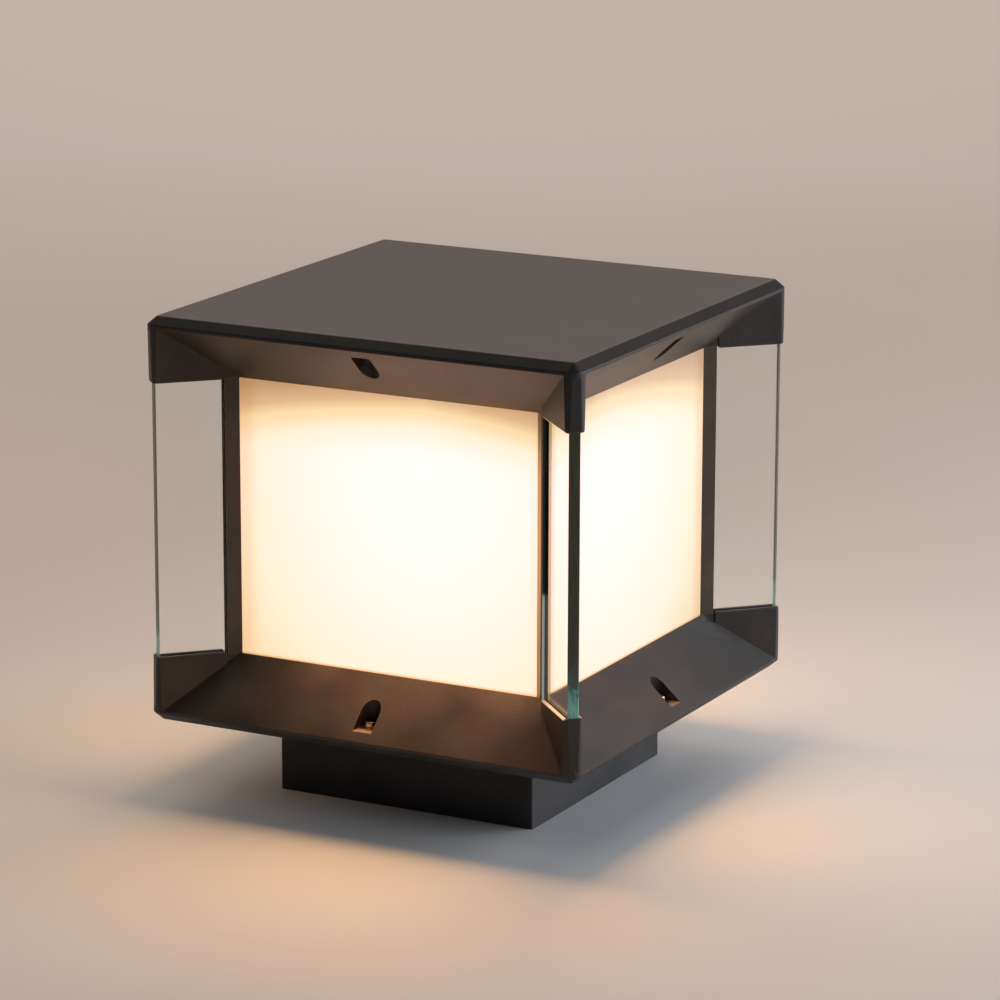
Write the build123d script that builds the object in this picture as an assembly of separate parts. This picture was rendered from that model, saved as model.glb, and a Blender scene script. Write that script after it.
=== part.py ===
from build123d import *
from math import sqrt
import os

# Square outdoor post light: two mirrored cast frames hold an opal light box and four corner panes.
# Lengths are millimetres, Z is up, and the origin is the middle of the pedestal's underside.

# Top and base plates
plate_w = 250.0          # width over the edges
plate_t = 4.8            # thickness
plate_corner_r = 6.0     # corner radius in plan
bevel_w = 5.2            # slanted edge, along the flat
bevel_h = 4.4            # slanted edge, along the thickness
bevel_soft_r = 1.6       # rounding between slanted edge and flat
edge_soft_r = 0.7        # rounding between slanted edge and upright edge
boss_d = 9.0             # tapped boss that takes a frame screw
boss_h = 2.0
boss_skin = 1.0          # metal left under a tapped hole
relief_depth = 1.8       # shallow pockets inside the lid
relief_margin = 22.0     # solid border round those pockets
relief_rib = 6.0         # rib between them

# Sloping frames
rim_h = 1.2              # upright edge next to the plate
slope_h = 28.0           # height of a sloping face
slope_wall = 6.0         # wall of a sloping face, measured level
foot_w = 9.0             # flange that meets the plate
foot_h = 3.0
web_t = 4.0              # level web round the mouth
web_w = 13.8
groove_depth = 4.0       # panels stand this far below the mouth's edge
mouth_gap = 0.5          # edge of a sloping face, outside the panel groove

# Corner fins
fin_t = 11.4             # thickness at the root
fin_draft = 1.0          # casting draft, degrees
fin_inset = 0.4          # end face, inside the corner arc
fin_end_r = 2.4
fin_edge_r = 1.0
lip_h = 1.0              # fin edge beyond the mouth
fin_gap = 0.4            # from the post to the fin's lips

# Corner panes
glass_t = 6.0
glass_fit = 0.25         # side clearance in the slots
glass_end_wall = 1.7     # metal beyond the slot's closed end
glass_depth = 4.1        # depth of the slot in a fin
glass_seam = 0.4         # ground edge
glass_bite = 3.8         # hold in the post's slot

# Screw pockets in the sloping faces
pocket_w = 11.0
pocket_floor = 4.1       # floor, from the outer edge of the sloping face
pocket_inset = 13.7      # screw axis, from the plate's edge
pocket_wall = 2.5

# Opal light box
light_h = 148.0          # height of panel in view
panel_w = 187.0          # width over opposite panels
panel_t = 3.0
panel_fit = 0.3          # clearance round a panel

# Corner posts
post_t = 9.0
post_reach = 2.9         # outer end, beyond the light box's corner
wing_t = 2.0             # flange behind each panel
wing_len = 9.0
port_d = 4.2             # screw port in each end
port_inset = 10.0        # from the post's outer end

# Pedestal
pedestal_w = 150.0
pedestal_h = 44.0
pedestal_wall = 4.0
pedestal_floor = 4.0
pedestal_corner_r = 1.5
pillar_d = 12.0          # corner pillars for the plate screws
pillar_bite = 1.5        # pillar sunk into the walls beside it
plate_ledge = 12.0       # base plate inside the pedestal's walls
cable_hole_d = 40.0
anchor_pitch = 100.0
anchor_hole_d = 7.0

# Gaskets
gasket_w = 3.0
gasket_t = 1.8
gasket_inset = 4.5       # from the plate's edge
gasket_fit = 0.2

# Fasteners
m3_d = 3.0
m3_hole_d = 3.6
m3_head_d = 5.5
m3_head_h = 3.0
m3_key = 2.5
m4_d = 4.0
m4_hole_d = 4.4
m4_head_d = 7.0
m4_head_h = 2.6
m4_sink_d = 8.0
washer_d = 7.0
washer_t = 0.5
frame_screw_len = 8.0
post_screw_len = 16.0
plate_screw_len = 14.0
sheet_screw_len = 5.0

# Lamp tray and holder strap, sheet metal
sheet_t = 1.5
tray_gap = 0.7           # from tray to panel
tray_rim_h = 6.0
tray_rim_len = 140.0
tray_screw_inset = 5.3   # from the tray's edge
strap_w = 24.0
strap_h = 9.0
strap_len = 92.0
strap_top = 52.0
bend_r = 2.5

# Bulb holder
holder_d = 42.0
holder_foot_d = 48.0
holder_foot_h = 9.0
holder_h = 42.0
holder_floor = 12.0
shell_wall = 0.5
shell_gap = 0.45         # from the bulb's thread to the holder's shell
contact_rise = 2.0
contact_gap = 0.3

# Screw-in bulb
cap_r = 13.1             # crest of the cap's thread
thread_depth = 0.9
thread_pitch = 3.63
thread_turns = 6
cap_collar = 2.0
tip_r = 4.8
tip_h = 1.5
insulator_h = 3.7
insulator_r = 9.5
bulb_neck_r = 14.5
bulb_body_h = 36.0
globe_r = 30.0
globe_sink = 14.0        # globe's centre, above the top of the bulb body
globe_wall = 1.6

# Cable gland
gland_thread_d = 16.0
gland_hex = 22.0
gland_hex_h = 5.0
gland_dome_d = 20.0
gland_dome_h = 14.0
gland_thread_h = 9.0
gland_bore_d = 7.0
gland_place = 55.0       # from the middle of the tray

# Supply terminals
block_w = 36.0
block_d = 20.0
block_h = 15.0
block_place = 38.0
block_ways = 3
block_pitch = 11.0
clamp_d = 5.0
earth_hex = 8.0
earth_hex_h = 3.5

# Levels, from the ground up
plate_z = pedestal_h
rim_z = plate_z + plate_t
slope_z = rim_z + rim_h
foot_z = rim_z + foot_h
mouth_z = slope_z + slope_h
lip_z = mouth_z + lip_h
step_z = mouth_z - groove_depth
web_z = step_z - web_t
slot_z = lip_z - glass_depth
pocket_z = slope_z + pocket_floor
mid_z = mouth_z + light_h / 2
tray_top = step_z + sheet_t
holder_z = tray_top + strap_h
seat_z = holder_z + holder_floor
tip_z = seat_z + contact_rise + contact_gap
insulator_z = tip_z + tip_h
cap_z = insulator_z + insulator_h
body_z = cap_z + thread_turns * thread_pitch + cap_collar
globe_z = body_z + bulb_body_h

# Widths and reaches worked out from the sizes above, the reaches along a corner's diagonal
ROOT2 = sqrt(2)
groove_half = panel_w / 2 + panel_fit
mouth_half = groove_half + mouth_gap
opening_half = groove_half - web_w
panel_in = panel_w / 2 - panel_t
wing_out = panel_in - panel_fit
wing_in = wing_out - wing_t
post_end = panel_w / 2 * ROOT2 + post_reach
post_start = wing_in * ROOT2 - post_t / 2 - 0.7
port_u = post_end - port_inset
fin_start = post_end + fin_gap
fin_end = plate_w / 2 * ROOT2 - plate_corner_r * (ROOT2 - 1) - fin_inset
slot_w = glass_t + 2 * glass_fit
slot_start = post_end - glass_bite - glass_fit
slot_end = fin_end - glass_end_wall
screw_s = plate_w / 2 - pocket_inset
pillar_s = pedestal_w / 2 - pedestal_wall - pillar_d / 2 + pillar_bite
tray_half = panel_in - tray_gap
shell_r = cap_r + shell_gap

SIDES = [Rot(0, 0, turn) for turn in (-90, 0, 90, 180)]
SIDE_NAMES = ("front", "right", "back", "left")
CORNERS = [Rot(0, 0, turn) for turn in (-45, 45, 135, 225)]


def at_each(places, shape):
    """Copies of a shape, one in each place."""
    return [place * shape for place in places]


def turned_over(shape):
    """The same piece in the upper half of the light."""
    return mirror(shape, about=Plane.XY.offset(mid_z))


def square_block(half, low, high, corner_r=0.0):
    """Upright square prism round the Z axis."""
    outline = RectangleRounded(2 * half, 2 * half, corner_r) if corner_r else Rectangle(2 * half, 2 * half)
    return extrude(Pos(0, 0, low) * outline, high - low)


def square_taper(low_half, low, high_half, high):
    """Square prism that narrows upwards."""
    lower = Pos(0, 0, low) * Rectangle(2 * low_half, 2 * low_half)
    upper = Pos(0, 0, high) * Rectangle(2 * high_half, 2 * high_half)
    return loft([lower, upper], ruled=True)


def rod(radius, low, high):
    """Upright round bar on the Z axis."""
    return extrude(Pos(0, 0, low) * Circle(radius), high - low)


def hex_bar(across, low, high):
    """Upright six-sided bar, sized across its flats."""
    return extrude(Pos(0, 0, low) * RegularPolygon(across / 2, 6, major_radius=False), high - low)


def slope_half(z):
    """Half the width over two opposite sloping faces at a height."""
    return plate_w / 2 - (z - slope_z) * (plate_w / 2 - mouth_half) / slope_h


# Fasteners, each with its seat at the origin and its shank pointing down

def socket_screw(length):
    """Cap screw with a hexagon socket."""
    shank = rod(m3_d / 2, -length, 0)
    head = rod(m3_head_d / 2, 0, m3_head_h)
    return shank + head - hex_bar(m3_key, m3_head_h / 2, m3_head_h)


def pan_screw(diameter, head_d, head_h, length):
    """Pan head screw with a softened head."""
    head = rod(head_d / 2, 0, head_h)
    head = fillet(head.faces().sort_by(Axis.Z)[-1].edges(), head_h / 2)
    return head + rod(diameter / 2, -length, 0)


def sunk_screw(diameter, head_d, length):
    """Countersunk screw, flush with its seat."""
    cone_h = (head_d - diameter) / 2
    cone = Pos(0, 0, -cone_h / 2) * Cone(diameter / 2, head_d / 2, cone_h)
    return cone + rod(diameter / 2, -length, -cone_h)


def washer():
    """Plain washer, lying on the seat."""
    return rod(washer_d / 2, 0, washer_t) - rod(m3_hole_d / 2, 0, washer_t)


# Frame casting, shown as the lower frame

def pocket_arch(radius, low, high):
    """Upright prism, round towards the lamp and open towards the plate's edge."""
    reach = pocket_inset
    outline = Circle(radius) + Pos(reach / 2, 0) * Rectangle(reach, 2 * radius)
    return Pos(screw_s, 0, low) * extrude(outline, high - low)


def corner_fin():
    """Drafted fin on the diagonal, with a softened end and edge."""
    root = Pos((fin_start + fin_end) / 2, 0, slope_z) * Rectangle(fin_end - fin_start, fin_t)
    fin = extrude(root, lip_z - slope_z, taper=fin_draft)
    uprights = fin.faces().sort_by(Axis.X)[-1].edges().sort_by(Axis.Z)[1:3]
    fin = fillet(uprights, fin_end_r)
    return fillet(fin.faces().sort_by(Axis.Z)[-1].edges(), fin_edge_r)


def post_seat():
    """Raised pad under a post, level with the mouth's edge."""
    length = fin_start - post_start
    return Pos((post_start + fin_start) / 2, 0, web_z) * extrude(Rectangle(length, post_t), mouth_z - web_z)


def glass_slot():
    """Slot for a pane, closed at its outer end."""
    length = slot_end - slot_start
    outline = Pos((slot_start + slot_end) / 2, 0, slot_z) * Rectangle(length, slot_w)
    return extrude(outline, lip_z - slot_z + 1)


def frame_hollow():
    """Inside of the casting, under the web and the sloping walls."""
    foot = square_block(plate_w / 2 - foot_w, rim_z, foot_z)
    low_half = slope_half(foot_z) - slope_wall
    return foot + square_taper(low_half, foot_z, slope_half(web_z) - slope_wall, web_z)


def frame_casting():
    """Sloping frame with its fins, post seats, pane slots and screw pockets."""
    outline = square_block(plate_w / 2, rim_z, lip_z, plate_corner_r)
    skirt = square_block(plate_w / 2, rim_z, slope_z)
    skirt += square_taper(plate_w / 2, slope_z, mouth_half, mouth_z)
    skirt = skirt & outline
    walls = skirt - square_block(groove_half, step_z, lip_z) - square_block(opening_half, web_z, step_z)
    walls = (walls + at_each(CORNERS, corner_fin())) & outline
    walls = walls - frame_hollow() + at_each(CORNERS, post_seat())
    walls += at_each(SIDES, pocket_arch(pocket_w / 2 + pocket_wall, rim_z, mouth_z) & skirt)
    walls -= at_each(CORNERS, glass_slot())
    walls -= at_each(CORNERS, Pos(port_u, 0, 0) * rod(m4_hole_d / 2, web_z, mouth_z))
    walls -= at_each(SIDES, pocket_arch(pocket_w / 2, pocket_z, lip_z))
    recess = rod(boss_d / 2 + panel_fit, rim_z, rim_z + boss_h + gasket_fit)
    walls -= at_each(SIDES, Pos(screw_s, 0, 0) * (recess + rod(m3_hole_d / 2, rim_z, pocket_z)))
    tray_hole = Pos(tray_half - tray_screw_inset, 0, 0) * rod(m3_hole_d / 2, web_z, step_z)
    return walls - at_each(SIDES, tray_hole)


# Plates and gaskets, shown as the base plate

def gasket_ring(width, low, high):
    """Square ring in the seal's place, with rounded corners."""
    half = plate_w / 2 - gasket_inset + width / 2 - gasket_w / 2
    ring = square_block(half, low, high, plate_corner_r - gasket_w / 2 + width / 2)
    return ring - square_block(half - width, low, high, plate_corner_r - gasket_w / 2 - width / 2)


def plate_blank():
    """Plate with a slanted edge, a gasket groove and four tapped bosses."""
    plate = square_block(plate_w / 2, plate_z, rim_z, plate_corner_r)
    face = plate.faces().sort_by(Axis.Z)[0]
    plate = chamfer(face.edges(), bevel_w, bevel_h, reference=face)
    shoulder_z = plate_z + bevel_h
    plate = fillet(plate.edges().filter_by_position(Axis.Z, shoulder_z, shoulder_z), edge_soft_r)
    plate = fillet(plate.edges().filter_by_position(Axis.Z, plate_z, plate_z), bevel_soft_r)
    plate -= gasket_ring(gasket_w + 2 * gasket_fit, rim_z - gasket_t, rim_z)
    plate += at_each(SIDES, Pos(screw_s, 0, 0) * rod(boss_d / 2, rim_z - boss_skin, rim_z + boss_h))
    tapped = rod(m3_hole_d / 2, plate_z + boss_skin, rim_z + boss_h)
    return plate - at_each(SIDES, Pos(screw_s, 0, 0) * tapped)


def base_plate():
    """Lower plate, open over the pedestal."""
    opening_w = pedestal_w - 2 * (pedestal_wall + plate_ledge)
    plate = plate_blank() - square_block(opening_w / 2, plate_z, rim_z, pillar_d / 2)
    sink = Pos(0, 0, rim_z) * sunk_screw(m4_hole_d, m4_sink_d + gasket_fit, plate_t)
    return plate - [Pos(x, y, 0) * sink for x in (-pillar_s, pillar_s) for y in (-pillar_s, pillar_s)]


def lid():
    """Upper plate, lightened inside by four shallow pockets."""
    span = plate_w / 2 - relief_margin - relief_rib / 2
    relief = square_block(span / 2, rim_z - relief_depth, rim_z, plate_corner_r)
    offset = (span + relief_rib) / 2
    pockets = [Pos(x, y, 0) * relief for x in (-offset, offset) for y in (-offset, offset)]
    return turned_over(plate_blank() - pockets)


# Light box

def diffuser():
    """Opal panel on the +X side, with its ends mitred to the posts."""
    end_cut = (post_t / 2 + panel_fit) * ROOT2
    outer = panel_w / 2
    ends = [(outer, outer - end_cut), (panel_in, panel_in - end_cut)]
    outline = Polyline(ends[0], ends[1], (panel_in, end_cut - panel_in), (outer, end_cut - outer), close=True)
    height = light_h + 2 * groove_depth - panel_fit
    return Pos(0, 0, step_z) * extrude(make_face(outline), height)


def corner_post():
    """Extruded post on the +X diagonal: slotted blade, two panel flanges and a screw port."""
    blade = Pos((post_start + post_end) / 2, 0) * Rectangle(post_end - post_start, post_t)
    flange_end = wing_out - post_t / ROOT2 + panel_fit
    flange = Pos((wing_in + wing_out) / 2, flange_end - wing_len / 2) * Rectangle(wing_t, wing_len)
    flanges = Rot(0, 0, -45) * (flange + mirror(flange, about=Plane((0, 0, 0), z_dir=(1, -1, 0))))
    slot = Pos((slot_start + post_end) / 2, 0) * Rectangle(post_end - slot_start, slot_w)
    profile = blade + flanges - slot - Pos(port_u, 0) * Circle(port_d / 2)
    return Pos(0, 0, mouth_z) * extrude(profile, light_h)


def corner_glass():
    """Clear pane with ground edges, standing in the slots."""
    start = slot_start + glass_fit
    end = slot_end - glass_fit
    height = 2 * (mid_z - slot_z) - panel_fit
    pane = Pos((start + end) / 2, 0, slot_z) * extrude(Rectangle(end - start, glass_t), height)
    return chamfer(pane.edges(), glass_seam)


# Pedestal and its fittings

def pedestal():
    """Open-topped square foot with a drilled floor and a pillar in each corner."""
    foot = square_block(pedestal_w / 2, 0, pedestal_h, pedestal_corner_r)
    foot -= square_block(pedestal_w / 2 - pedestal_wall, pedestal_floor, pedestal_h)
    spots = [(x, y) for x in (-1, 1) for y in (-1, 1)]
    foot += [Pos(pillar_s * x, pillar_s * y, 0) * rod(pillar_d / 2, 0, pedestal_h) for x, y in spots]
    tapped = rod(m4_hole_d / 2, pedestal_h - plate_screw_len, pedestal_h)
    foot -= [Pos(pillar_s * x, pillar_s * y, 0) * tapped for x, y in spots]
    anchor = rod(anchor_hole_d / 2, 0, pedestal_floor)
    foot -= [Pos(anchor_pitch / 2 * x, anchor_pitch / 2 * y, 0) * anchor for x, y in spots]
    return foot - rod(cable_hole_d / 2, 0, pedestal_floor)


def plate_screws():
    """Four countersunk screws, flush with the base plate."""
    screw = Pos(0, 0, rim_z) * sunk_screw(m4_d, m4_sink_d, plate_screw_len)
    return [Pos(x, y, 0) * screw for x in (-pillar_s, pillar_s) for y in (-pillar_s, pillar_s)]


def block_clamps():
    """Places of the terminal screws, two to each way."""
    spots = GridLocations(block_pitch, block_d / 2, block_ways, 2)
    return [Pos(0, block_place, pedestal_floor) * spot for spot in spots]


def terminal_block():
    """Moulded block with a wire way and two screw wells to each pole."""
    block = Pos(0, block_place, pedestal_floor) * extrude(Rectangle(block_w, block_d), block_h)
    block = fillet(block.edges().filter_by(Axis.Z), 2.0)
    wells = [spot * rod(clamp_d / 2, block_h / 2, block_h) for spot in block_clamps()]
    way = Pos(0, block_place, pedestal_floor + block_h / 3) * Rot(90, 0, 0) * Cylinder(1.8, block_d)
    ways = [Pos(block_pitch * (n - (block_ways - 1) / 2), 0, 0) * way for n in range(block_ways)]
    return block - wells - ways


def terminal_screws():
    """Brass clamp screws, sunk in the wells."""
    screw = rod(clamp_d / 2 - 0.2, block_h / 2, block_h - 2.5)
    return [spot * screw for spot in block_clamps()]


def earth_screw():
    """Hexagon earth screw with its washer face, on the pedestal's floor."""
    flange = rod(earth_hex * 0.75, pedestal_floor, pedestal_floor + washer_t)
    head = hex_bar(earth_hex, pedestal_floor + washer_t, pedestal_floor + washer_t + earth_hex_h)
    return Pos(0, -block_place, 0) * (flange + head)


# Tray, strap and cable gland

def lamp_tray():
    """White sheet floor with cut corners, upturned rims and its holes."""
    sheet = Pos(0, 0, step_z) * extrude(Rectangle(2 * tray_half, 2 * tray_half), sheet_t)
    corner_cut = (tray_half * ROOT2 - post_start + panel_fit) * ROOT2
    sheet = chamfer(sheet.edges().filter_by(Axis.Z), corner_cut)
    rim = Pos(tray_half - sheet_t / 2, 0, step_z) * extrude(Rectangle(sheet_t, tray_rim_len), tray_rim_h)
    sheet += at_each(SIDES, rim)
    hole = rod(m3_hole_d / 2, step_z, tray_top)
    sheet -= at_each(SIDES, Pos(tray_half - tray_screw_inset, 0, 0) * hole)
    sheet -= [Pos(x, 0, 0) * hole for x in strap_screw_x()]
    return sheet - Pos(0, gland_place, 0) * rod(gland_thread_d / 2 + gasket_fit, step_z, tray_top)


def strap_screw_x():
    """Screw places in the strap's two feet."""
    reach = (strap_len + strap_top) / 4
    return (-reach, reach)


def holder_bracket():
    """Hat-shaped strap that lifts the holder off the tray."""
    low = tray_top + sheet_t / 2
    high = tray_top + strap_h - sheet_t / 2
    half_top = strap_top / 2 - strap_h / 2
    half_foot = strap_top / 2
    path = [(-strap_len / 2, low), (-half_foot, low), (-half_top, high)]
    path += [(-x, z) for x, z in reversed(path)]
    bent = trace(FilletPolyline(*path, radius=bend_r), sheet_t)
    strap = Plane.XZ.offset(-strap_w / 2) * extrude(bent, strap_w)
    return strap - [Pos(x, 0, 0) * rod(m3_hole_d / 2, tray_top, tray_top + sheet_t) for x in strap_screw_x()]


def gland_body():
    """Gland with its dome nut under the tray and its thread through it."""
    hexagon = hex_bar(gland_hex, step_z - gland_hex_h, step_z)
    dome = rod(gland_dome_d / 2, step_z - gland_hex_h - gland_dome_h, step_z - gland_hex_h)
    dome = fillet(dome.faces().sort_by(Axis.Z)[0].edges(), gland_dome_d / 5)
    body = dome + hexagon + rod(gland_thread_d / 2, step_z, step_z + gland_thread_h)
    bore = rod(gland_bore_d / 2, step_z - gland_hex_h - gland_dome_h, step_z + gland_thread_h)
    return Pos(0, gland_place, 0) * (body - bore)


def gland_nut():
    """Locknut on the tray."""
    nut = hex_bar(gland_hex, tray_top, tray_top + gland_hex_h)
    nut -= rod(gland_thread_d / 2 + gasket_fit, tray_top, tray_top + gland_hex_h)
    return Pos(0, gland_place, 0) * nut


# Bulb holder

def lampholder():
    """Porcelain holder turned about its axis, with a deep round bore."""
    bore_r = shell_r + shell_wall + gasket_fit
    foot_r = holder_foot_d / 2
    body_r = holder_d / 2
    outline = Polyline(
        (0, 0), (foot_r, 0), (foot_r, holder_foot_h - 2), (foot_r - 2, holder_foot_h),
        (body_r - 2, holder_foot_h + 3), (body_r, holder_h - 6), (body_r, holder_h - 1.5),
        (body_r - 1.5, holder_h), (bore_r, holder_h), (bore_r, holder_floor), (0, holder_floor), close=True)
    turned = revolve(Plane.XZ * make_face(outline), Axis.Z)
    return Pos(0, 0, holder_z) * turned


def holder_shell():
    """Thin sleeve that takes the bulb's thread."""
    sleeve = rod(shell_r + shell_wall, seat_z, holder_z + holder_h - 3)
    return sleeve - rod(shell_r, seat_z, holder_z + holder_h - 3)


def holder_contact():
    """Sprung centre contact, bowed up from the holder's floor."""
    half = shell_r * 0.75
    bow = trace(ThreePointArc((-half, 0.4), (0, contact_rise - 0.4), (half, 0.4)), 0.8)
    strip = Plane.XZ.offset(-tip_r / 2) * extrude(bow, tip_r)
    strip = strip & square_block(half, -1, contact_rise + 1)
    return Pos(0, 0, seat_z) * (strip - square_block(2 * half, -2, 0))


# Screw-in bulb

def bulb_cap():
    """Threaded metal cap, drawn as a wave of crests."""
    crest = cap_r - thread_depth / 2
    wave = [(crest - thread_depth / 2, cap_z)]
    for turn in range(thread_turns):
        base = cap_z + turn * thread_pitch
        wave.append((cap_r, base + thread_pitch * 0.35))
        wave.append((cap_r, base + thread_pitch * 0.65))
        wave.append((crest - thread_depth / 2, base + thread_pitch))
    outline = Polyline((0, cap_z), *wave, (cap_r, body_z - cap_collar), (cap_r, body_z), (0, body_z), close=True)
    return revolve(Plane.XZ * make_face(outline), Axis.Z)


def bulb_insulator():
    """Dark cone between the cap and the tip."""
    cone = Cone(tip_r, insulator_r, insulator_h)
    return Pos(0, 0, insulator_z + insulator_h / 2) * cone


def bulb_body():
    """Flared white housing under the globe."""
    top_r = sqrt(globe_r ** 2 - globe_sink ** 2)
    flare = Spline((bulb_neck_r, body_z), (top_r, globe_z), tangents=((0.2, 1), (0.45, 1)))
    sides = Polyline((top_r, globe_z), (0, globe_z), (0, body_z), (bulb_neck_r, body_z))
    return revolve(Plane.XZ * make_face(flare + sides), Axis.Z)


def bulb_globe():
    """Opal dome, open where it meets the housing."""
    centre = globe_z + globe_sink
    inner_r = globe_r - globe_wall
    out_edge = (sqrt(globe_r ** 2 - globe_sink ** 2), globe_z)
    in_edge = (sqrt(inner_r ** 2 - globe_sink ** 2), globe_z)
    outside = ThreePointArc(out_edge, (globe_r, centre), (0, centre + globe_r))
    inside = ThreePointArc((0, centre + inner_r), (inner_r, centre), in_edge)
    rims = Line((0, centre + globe_r), (0, centre + inner_r)) + Line(in_edge, out_edge)
    return revolve(Plane.XZ * make_face(outside + inside + rims), Axis.Z)


# Fasteners in place

def frame_screws():
    """Socket screws standing in the pockets."""
    return at_each(SIDES, Pos(screw_s, 0, pocket_z + washer_t) * socket_screw(frame_screw_len))


def frame_washers():
    """Washers under the socket screws."""
    return at_each(SIDES, Pos(screw_s, 0, pocket_z) * washer())


def post_screws():
    """Pan head screws driven through the web into the posts."""
    screw = Rot(180, 0, 0) * pan_screw(m4_d, m4_head_d, m4_head_h, post_screw_len)
    return at_each(CORNERS, Pos(port_u, 0, web_z) * screw)


def tray_screws():
    """Pan head screws that hold the tray to the web."""
    screw = pan_screw(m3_d, m3_head_d, m3_head_h * 0.7, sheet_screw_len)
    return at_each(SIDES, Pos(tray_half - tray_screw_inset, 0, tray_top) * screw)


def bracket_screws():
    """Pan head screws in the strap's feet."""
    screw = pan_screw(m3_d, m3_head_d, m3_head_h * 0.7, sheet_screw_len)
    return [Pos(x, 0, tray_top + sheet_t) * screw for x in strap_screw_x()]


def group(solids):
    """Several separate solids kept as one node."""
    return Compound(children=list(solids))


def all_nodes():
    """Every node of the light by name."""
    casting = frame_casting()
    nodes = {
        "pedestal": pedestal(),
        "base_plate": base_plate(),
        "base_gasket": gasket_ring(gasket_w, rim_z - gasket_t, rim_z),
        "plate_screws": group(plate_screws()),
        "terminal_block": terminal_block(),
        "terminal_screws": group(terminal_screws()),
        "earth_screw": earth_screw(),
        "base_frame": casting,
        "base_screws": group(frame_screws()),
        "base_washers": group(frame_washers()),
        "top_frame": turned_over(casting),
        "lid_screws": group(turned_over(screw) for screw in frame_screws()),
        "lid_washers": group(turned_over(ring) for ring in frame_washers()),
        "post_screws_lower": group(post_screws()),
        "post_screws_upper": group(turned_over(screw) for screw in post_screws()),
        "lamp_tray": lamp_tray(),
        "tray_screws": group(tray_screws()),
        "holder_bracket": holder_bracket(),
        "bracket_screws": group(bracket_screws()),
        "lampholder": lampholder(),
        "holder_shell": holder_shell(),
        "holder_contact": holder_contact(),
        "gland_body": gland_body(),
        "gland_nut": gland_nut(),
        "lid": lid(),
        "lid_gasket": turned_over(gasket_ring(gasket_w, rim_z - gasket_t, rim_z)),
        "bulb_contact": rod(tip_r, tip_z, insulator_z),
        "bulb_insulator": bulb_insulator(),
        "bulb_cap": bulb_cap(),
        "bulb_body": bulb_body(),
        "bulb_globe": bulb_globe(),
    }
    for number, place in enumerate(CORNERS, start=1):
        nodes[f"corner_post_{number}"] = place * corner_post()
        nodes[f"corner_glass_{number}"] = place * corner_glass()
    for name, place in zip(SIDE_NAMES, SIDES):
        nodes[f"diffuser_{name}"] = place * diffuser()
    return nodes


os.makedirs("parts", exist_ok=True)
for node_name, node_shape in all_nodes().items():
    export_step(node_shape, f"parts/{node_name}.step")
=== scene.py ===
import math
import bmesh
import bpy
from mathutils import Matrix, Vector


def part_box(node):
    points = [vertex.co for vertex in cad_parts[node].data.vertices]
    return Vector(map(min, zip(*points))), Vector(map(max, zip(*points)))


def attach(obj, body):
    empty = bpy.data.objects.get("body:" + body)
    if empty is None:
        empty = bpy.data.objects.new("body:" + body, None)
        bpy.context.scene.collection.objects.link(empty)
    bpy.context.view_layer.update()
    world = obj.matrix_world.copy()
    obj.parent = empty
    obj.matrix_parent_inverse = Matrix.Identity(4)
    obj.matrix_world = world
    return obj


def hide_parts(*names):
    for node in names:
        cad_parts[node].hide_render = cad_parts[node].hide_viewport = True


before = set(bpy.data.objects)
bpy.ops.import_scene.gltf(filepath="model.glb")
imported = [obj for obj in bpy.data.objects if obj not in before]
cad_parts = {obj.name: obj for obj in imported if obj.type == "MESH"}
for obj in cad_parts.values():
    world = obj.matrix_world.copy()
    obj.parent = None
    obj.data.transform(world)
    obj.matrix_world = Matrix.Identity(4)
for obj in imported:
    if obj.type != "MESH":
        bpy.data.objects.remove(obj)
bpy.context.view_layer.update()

# Pedestal: the square foot, an open-topped aluminium casting with a drilled floor. It is powder coated
# near black, a fine grain that is dull head on and pale at a low angle. Anchors hold it to its pillar.
MM = 0.001
EDGE_HIGHLIGHT = 2.2  # how much paler the coat is painted along its edges, as a painted highlight
NOISE_LOW, NOISE_HIGH = 0.3, 0.7  # nearly all of a noise lies between these


def new_finish(name):
    """A fresh material and its surface shader."""
    finish = bpy.data.materials.new(name)
    finish.use_nodes = True
    return finish, finish.node_tree.nodes["Principled BSDF"]


def feed(finish, node, inputs):
    """Puts a plain value on each named input, or links another node's output to it."""
    for label, value in inputs.items():
        socket = node.inputs[label]
        if isinstance(value, bpy.types.NodeSocket):
            finish.node_tree.links.new(value, socket)
        else:
            socket.default_value = value


def lay(finish, kind, out, inputs, **settings):
    """Adds a node with its settings and inputs, and gives back one of its outputs."""
    node = finish.node_tree.nodes.new("ShaderNode" + kind)
    for label, value in settings.items():
        setattr(node, label, value)
    feed(finish, node, inputs)
    return node.outputs[out]


def object_place(finish):
    """Where a point lies on the object, in metres."""
    return lay(finish, "TexCoord", "Object", {})


def reckon(finish, operation, *values):
    """One sum, done on plain values or on other nodes' outputs."""
    return lay(finish, "Math", "Value", dict(enumerate(values)), operation=operation)


def graded(finish, value, start, end, low=0.0, high=1.0, **settings):
    """A level that goes from low to high as a value goes from start to end."""
    return lay(finish, "MapRange", "Result", {
        "Value": value, "From Min": start, "From Max": end, "To Min": low, "To Max": high}, **settings)


def mix(finish, share, first, second, way="MIX"):
    """A share of the second colour put over the first, each a colour or another node's output."""
    first, second = ((*each, 1.0) if isinstance(each, tuple) else each for each in (first, second))
    return lay(finish, "MixRGB", "Color", {"Fac": share, "Color1": first, "Color2": second}, blend_type=way)


def ramp(finish, value, *stops):
    """Colours along a value, from (position, colour) stops."""
    colours = finish.node_tree.nodes.new("ShaderNodeValToRGB")
    marks = colours.color_ramp.elements
    while len(marks) < len(stops):
        marks.new(0.5)
    for mark, (position, colour) in zip(marks, stops):
        mark.position = position
        mark.color = (*colour, 1.0)
    finish.node_tree.links.new(value, colours.inputs["Fac"])
    return colours.outputs["Color"]


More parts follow.
